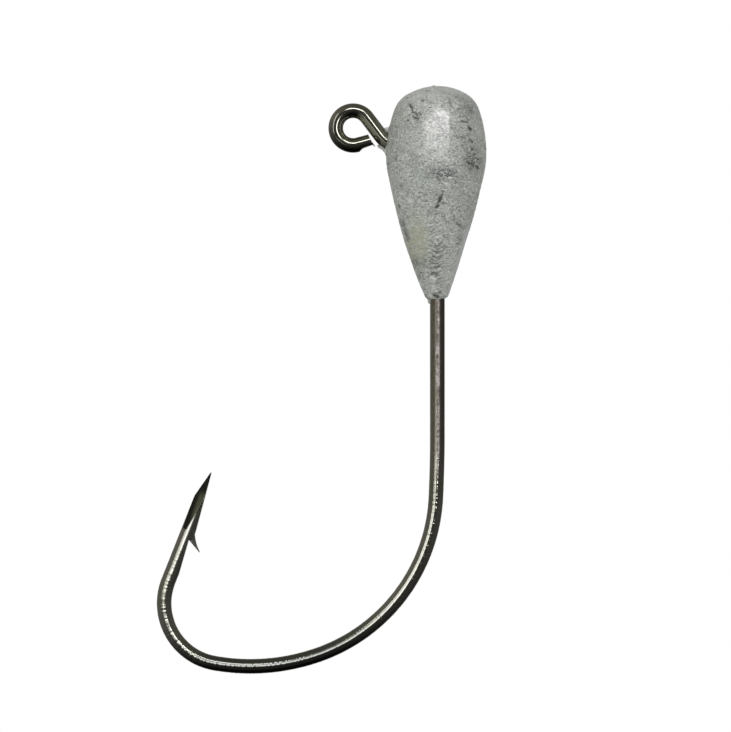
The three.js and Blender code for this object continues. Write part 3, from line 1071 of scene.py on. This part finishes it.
def black_nickel():
    material = bpy.data.materials.new("black_nickel")
    n = Nodes(material)
    place = n.place()
    along = n.times(n.attribute("along"), DRAWN_STRETCH)
    drawn = n.add("ShaderNodeCombineXYZ", {0: along, 1: n.attribute("across")}).outputs[0]
    eye = n.attribute("eye")
    polished = n.math("MAXIMUM", n.attribute("bent"), eye)
    plain = n.rest(polished)
    streaks = n.noise(drawn, *NICKEL_STREAKS)
    colour = plating_colour(n, place, streaks, plain)
    colour = shank_colour(n, colour, place, plain, eye)
    colour = n.marks(colour, WIRE_MARKS)
    n.surface(colour, 1, nickel_roughness(n, polished, streaks), nickel_bump(n, place, drawn, polished))
    return material


# Cast lead: a noise may have a distortion too
LEAD_BROAD, BROAD_SPAN = (160, 3, 0.55), (0.35, 0.65)
LEAD_CLOUDS, CLOUD_SPAN = (520, 3, 0.6, 0.6), (0.35, 0.65)
LEAD_GRAIN = (3600, 4, 0.68, 2.2)
GRAIN_DARK_SPAN, GRAIN_LIGHT_SPAN = (0.41, 0.52), (0.55, 0.66, 0, 0.9)
LEAD_SPECKS, SPECK_SPAN = (7200, 2, 0.6), (0.6, 0.75, 0, 0.4)
LEAD_HOLES, HOLE_SPAN = (2100, 2, 0.7), (0.36, 0.28, 0, 0.7)
LEAD_STAIN, STAIN_SPAN = (1700, 3, 0.65, 1.2), (0.42, 0.58, 0.95, 0.25)
LEAD_SMUDGE, SMUDGE_SPAN = (5200, 3, 0.6, 1.4), (0.47, 0.53, 0.1, 1)
FLATTENED = (0.62, 0.8, 1.25)
LEAD_GREEN, LEAD_GREY = (0.456, 0.476, 0.43), (0.511, 0.517, 0.475)
CLOUD_DARK, CLOUD_SHARE = (0.24, 0.26, 0.24), 0.3
GRAIN_DARK, GRAIN_SHARE = (0.17, 0.18, 0.165), 0.9
GRAIN_LIGHT = (0.68, 0.69, 0.66)
SPECK_LIGHT = (0.6, 0.6, 0.58)
HOLE_DARK = (0.1, 0.105, 0.1)
# The head's top painted paler, as painted light from above
TOP_LIGHT_MARK = ("top_light", 0.35, (0.66, 0.69, 0.66))
STAIN_OLIVE = (0.36, 0.37, 0.26)
SMUDGE_DARK = (0.06, 0.068, 0.06)
WRINKLE_TONES = [(-0.75, (0.15, 0.155, 0.14)), (0.45, (0.6, 0.61, 0.58))]
BAND_AND_DARK_MARKS = [("band", 0.8, (0.48, 0.49, 0.475)), ("dark", 0.9, (0.045, 0.05, 0.045))]
# The painted highlight on the widest part of the head
SHEEN_COLOUR, SHEEN_SPAN = (0.8, 0.78, 0.76), (0.42, 0.6, 0.25, 0.75)
LIGHT_MARK = ("light", 0.85, (0.95, 0.94, 0.92))
LEAD_METALLIC = 0.35
LEAD_ROUGH = (0.3, 0.7, 0.5, 0.4)
# How much smoother the painted highlight's patch is made, and how much rougher the dark pits are
SHEEN_SMOOTHER, DARK_ROUGHER = 0.08, 0.25
GRAIN_RELIEF, SPECK_RELIEF = 0.8, 0.2
LEAD_BUMP = (0.6, 0.09)


def lead_colour(n, place, clouds, grain, specks):
    """The bare casting: tones, clouds, grain, specks, a top painted paler as painted light from above, and small
    holes.
    """
    colour = n.mix(n.span(n.noise(place, *LEAD_BROAD), *BROAD_SPAN), LEAD_GREEN, LEAD_GREY)
    colour = n.mix(n.span(clouds, *CLOUD_SPAN), n.mix(CLOUD_SHARE, colour, CLOUD_DARK), colour)
    colour = n.mix(n.span(grain, *GRAIN_DARK_SPAN), n.mix(GRAIN_SHARE, colour, GRAIN_DARK), colour)
    colour = n.mix(n.span(grain, *GRAIN_LIGHT_SPAN), colour, GRAIN_LIGHT)
    colour = n.mix(n.span(specks, *SPECK_SPAN), colour, SPECK_LIGHT)
    # The top painted paler, as painted light from above
    colour = n.marks(colour, [TOP_LIGHT_MARK])
    return n.mix(n.span(n.noise(place, *LEAD_HOLES), *HOLE_SPAN), colour, HOLE_DARK)


def lead_marks(n, colour, flat, grain, painted_sheen):
    """The stain, smudges, wrinkles, smooth band, dark pits, a painted highlight on the widest part, and bright
    flecks.
    """
    for name, noise_kind, span, mark in (
        ("stain", LEAD_STAIN, STAIN_SPAN, STAIN_OLIVE),
        ("smudge", LEAD_SMUDGE, SMUDGE_SPAN, SMUDGE_DARK),
    ):
        broken = n.times(n.attribute(name), n.span(n.noise(flat, *noise_kind), *span))
        colour = n.mix(broken, colour, mark)
    for share, mark in WRINKLE_TONES:
        colour = n.mix(n.times(n.attribute("wrinkle"), share, clamp=True), colour, mark)
    colour = n.marks(colour, BAND_AND_DARK_MARKS)
    # A painted highlight on the widest part
    colour = n.mix(n.times(painted_sheen, n.span(grain, *SHEEN_SPAN)), colour, SHEEN_COLOUR)
    return n.marks(colour, [LIGHT_MARK])


def cast_lead():
    material = bpy.data.materials.new("cast_lead")
    n = Nodes(material)
    place = n.place()
    flat = n.add("ShaderNodeMapping", {"Vector": place, "Scale": FLATTENED}).outputs[0]
    clouds = n.noise(place, *LEAD_CLOUDS)
    grain = n.noise(flat, *LEAD_GRAIN)
    specks = n.noise(place, *LEAD_SPECKS)
    # Where the painted highlight on the widest part lies; it is also made a little smoother
    painted_sheen = n.attribute("painted_sheen")
    colour = lead_marks(n, lead_colour(n, place, clouds, grain, specks), flat, grain, painted_sheen)
    rough = n.plus(n.span(clouds, *LEAD_ROUGH), n.times(painted_sheen, -SHEEN_SMOOTHER))
    rough = n.plus(rough, n.times(n.attribute("dark"), DARK_ROUGHER))
    height = n.plus(n.times(grain, GRAIN_RELIEF), n.times(specks, SPECK_RELIEF))
    n.surface(colour, LEAD_METALLIC, rough, n.bump(height, *LEAD_BUMP))
    return material


# Studio

# Lights: a spot that they aim at, their distance, the two directions that they run between, as degrees right and
# up, their width in degrees, their radiance, their shape and how widely they spread
EYE_SPOT = (0, 0)
BEND_SPOT = (-4, -40)
POINT_SPOT = (-15.5, -34)
NEAR = 52
FAR = 420
COOL_WHITE = (0.93, 0.96, 1)
LIGHTS = {
    "key": (BEND_SPOT, NEAR, (-18, 10), (-18, 10), 46, 2.1, "ELLIPSE", 60),
    "point_key": (POINT_SPOT, NEAR, (-2, 4), (-2, 4), 30, 3.3, "ELLIPSE", 44),
    "right_strip": (EYE_SPOT, FAR, (14, -5), (17, 20), 10, 6.2, "RECTANGLE", 180),
    "top_strip": (EYE_SPOT, FAR, (18, 29), (-10, 32), 10, 6.6, "RECTANGLE", 180),
    "left_strip": (EYE_SPOT, FAR, (-38, -8), (-34, 38), 8, 2.4, "RECTANGLE", 180),
}

# The world's brightness along one axis of a direction: where each change starts and ends, and its two values
WORLD_BASE = 0.09
WORLD_FROM_ABOVE = (-0.5, 0.8, 0, 1)
WORLD_FROM_LEFT = (-0.8, 0.8, 1, 0)
WORLD_GAIN = 0.1
WORLD_DIMMED = [("Z", (-0.95, -0.35, 0.06, 1)), ("Z", (0.6, 1, 1, 0.6)), ("Y", (-0.97, -0.6, 0.35, 1))]
WORLD_BEHIND, WORLD_BEHIND_LEVEL = (0.78, 0.96), 0.6
WORLD_TINTS = (0.98, 0.97, 1), (1, 0.98, 0.84)
WORLD_SOFT = (-1, 1, 0.62, 0.95)
WHITE = (1, 1, 1)

FLOOR_DROP = 85
FLOOR_RADIUS = 560
FLOOR_SIDES = 96
FLOOR_NOISE = (25, 3, 0.5)
FLOOR_COLOURS = (0.88, 0.88, 0.87), (0.92, 0.92, 0.91)
FLOOR_ROUGH = 0.9
FLOOR_GLOW = 0.2

# The camera looks along +Y, level with the point it aims at
LENS = 150
SENSOR = 36
VIEW_HEIGHT = 63.65
AIM = (1.078, -20.69)
CLIP_NEAR, CLIP_FAR = 0.01, 10


def toward(right, up):
    """A direction that lies some degrees to the right of and above the way to the camera."""
    off = radians(hypot(right, up))
    around = atan2(up, right)
    return Vector((sin(off) * cos(around), -cos(off), sin(off) * sin(around)))


def area_light(name, spot, distance, first, last, width, radiance, shape, spread):
    """A soft light that runs from one direction to another, as seen from a spot in the plane of the hook."""
    middle = (toward(*first) + toward(*last)).normalized()
    run = toward(*last) - toward(*first)
    across = 2 * distance * tan(radians(width / 2))
    data = bpy.data.lights.new(name, "AREA")
    data.shape = shape
    data.size = across * MM
    data.size_y = max(across, run.length * distance) * MM
    half = radians(spread / 2)
    gathered = tan(half) / (tan(half) - half)
    data.energy = radiance * pi * data.size * data.size_y / gathered
    data.spread = 2 * half
    data.color = COOL_WHITE
    made = add_object(name, data)
    up = Vector((0, 0, 1)) if first == last else run.normalized()
    side = up.cross(middle).normalized()
    matrix = Matrix((side, middle.cross(side), middle)).transposed().to_4x4()
    matrix.translation = (Vector((spot[0], 0, spot[1])) + middle * distance) * MM
    made.matrix_world = matrix
    made.visible_camera = False


def glossy_level(n, direction):
    """In each direction: how bright the studio is to matt surfaces, how bright it is to glossy ones, and its tint."""
    axes = n.add("ShaderNodeSeparateXYZ", {0: direction}).outputs
    height = n.span(axes["Z"], *WORLD_FROM_ABOVE)
    level = n.plus(n.times(height, WORLD_GAIN), n.times(n.span(axes["X"], *WORLD_FROM_LEFT), WORLD_GAIN))
    level = n.plus(level, WORLD_BASE)
    for axis, span in WORLD_DIMMED:
        level = n.times(level, n.span(axes[axis], *span))
    level = n.math("MAXIMUM", level, n.times(n.span(axes["Y"], *WORLD_BEHIND), WORLD_BEHIND_LEVEL))
    return n.span(axes["Z"], *WORLD_SOFT), level, n.mix(height, *WORLD_TINTS)


def studio_world():
    """White to the camera, soft and bright to matt surfaces, and a dark studio to glossy ones."""
    world = bpy.data.worlds.new("studio")
    bpy.context.scene.world = world
    n = Nodes(world)
    soft, level, tint = glossy_level(n, n.add("ShaderNodeTexCoord").outputs["Generated"])
    dark, bright, white = (
        n.add("ShaderNodeBackground", {"Color": colour, "Strength": strength}).outputs[0]
        for colour, strength in ((tint, level), (WHITE, soft), (WHITE, 1))
    )
    ways = n.add("ShaderNodeLightPath").outputs
    shade = n.add("ShaderNodeMixShader", {0: ways["Is Glossy Ray"], 1: bright, 2: dark}).outputs[0]
    shade = n.add("ShaderNodeMixShader", {0: ways["Is Camera Ray"], 1: shade, 2: white}).outputs[0]
    n.add("ShaderNodeOutputWorld", {"Surface": shade})


def floor_paper():
    material = bpy.data.materials.new("floor_paper")
    n = Nodes(material)
    shader = n.add("ShaderNodeBsdfPrincipled", {
        "Base Color": n.mix(n.noise(n.place(), *FLOOR_NOISE), *FLOOR_COLOURS),
        "Roughness": FLOOR_ROUGH,
        "Emission Color": WHITE,
        "Emission Strength": FLOOR_GLOW,
    })
    n.add("ShaderNodeOutputMaterial", {"Surface": shader.outputs[0]})
    return material


def studio_floor(lowest):
    z = lowest - FLOOR_DROP
    points = [(FLOOR_RADIUS * cos(a), FLOOR_RADIUS * sin(a), z) for a in angles(FLOOR_SIDES)]
    floor = make_object("studio_floor", points, [tuple(range(FLOOR_SIDES))])
    coat(floor, floor_paper())
    floor.visible_glossy = False


def studio_camera():
    data = bpy.data.cameras.new("camera")
    data.lens = LENS
    data.sensor_width = SENSOR
    data.clip_start = CLIP_NEAR
    data.clip_end = CLIP_FAR
    camera = add_object("camera", data)
    distance = VIEW_HEIGHT * LENS / SENSOR
    camera.location = (AIM[0] * MM, -distance * MM, AIM[1] * MM)
    camera.rotation_euler = (pi / 2, 0, 0)
    bpy.context.scene.camera = camera


def view_settings():
    """Plain colours, with no film look."""
    scene = bpy.context.scene
    scene.view_settings.view_transform = "Standard"
    scene.view_settings.look = "None"


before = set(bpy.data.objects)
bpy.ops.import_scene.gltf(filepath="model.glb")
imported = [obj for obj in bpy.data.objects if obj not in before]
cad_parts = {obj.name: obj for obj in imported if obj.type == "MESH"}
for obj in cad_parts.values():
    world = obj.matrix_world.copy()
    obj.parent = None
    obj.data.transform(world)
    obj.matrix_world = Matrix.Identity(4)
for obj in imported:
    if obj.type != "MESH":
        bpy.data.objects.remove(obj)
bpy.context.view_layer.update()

view_settings()
studio_camera()
for name, light in LIGHTS.items():
    area_light(name, *light)
studio_world()

hook = build_hook()
coat(hook, black_nickel())
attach(hook, "root")
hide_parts("jig_hook")

head = build_head()
coat(head, cast_lead())
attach(head, "root")
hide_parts("lead_head")

studio_floor(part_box("jig_hook")[0][2] / MM)
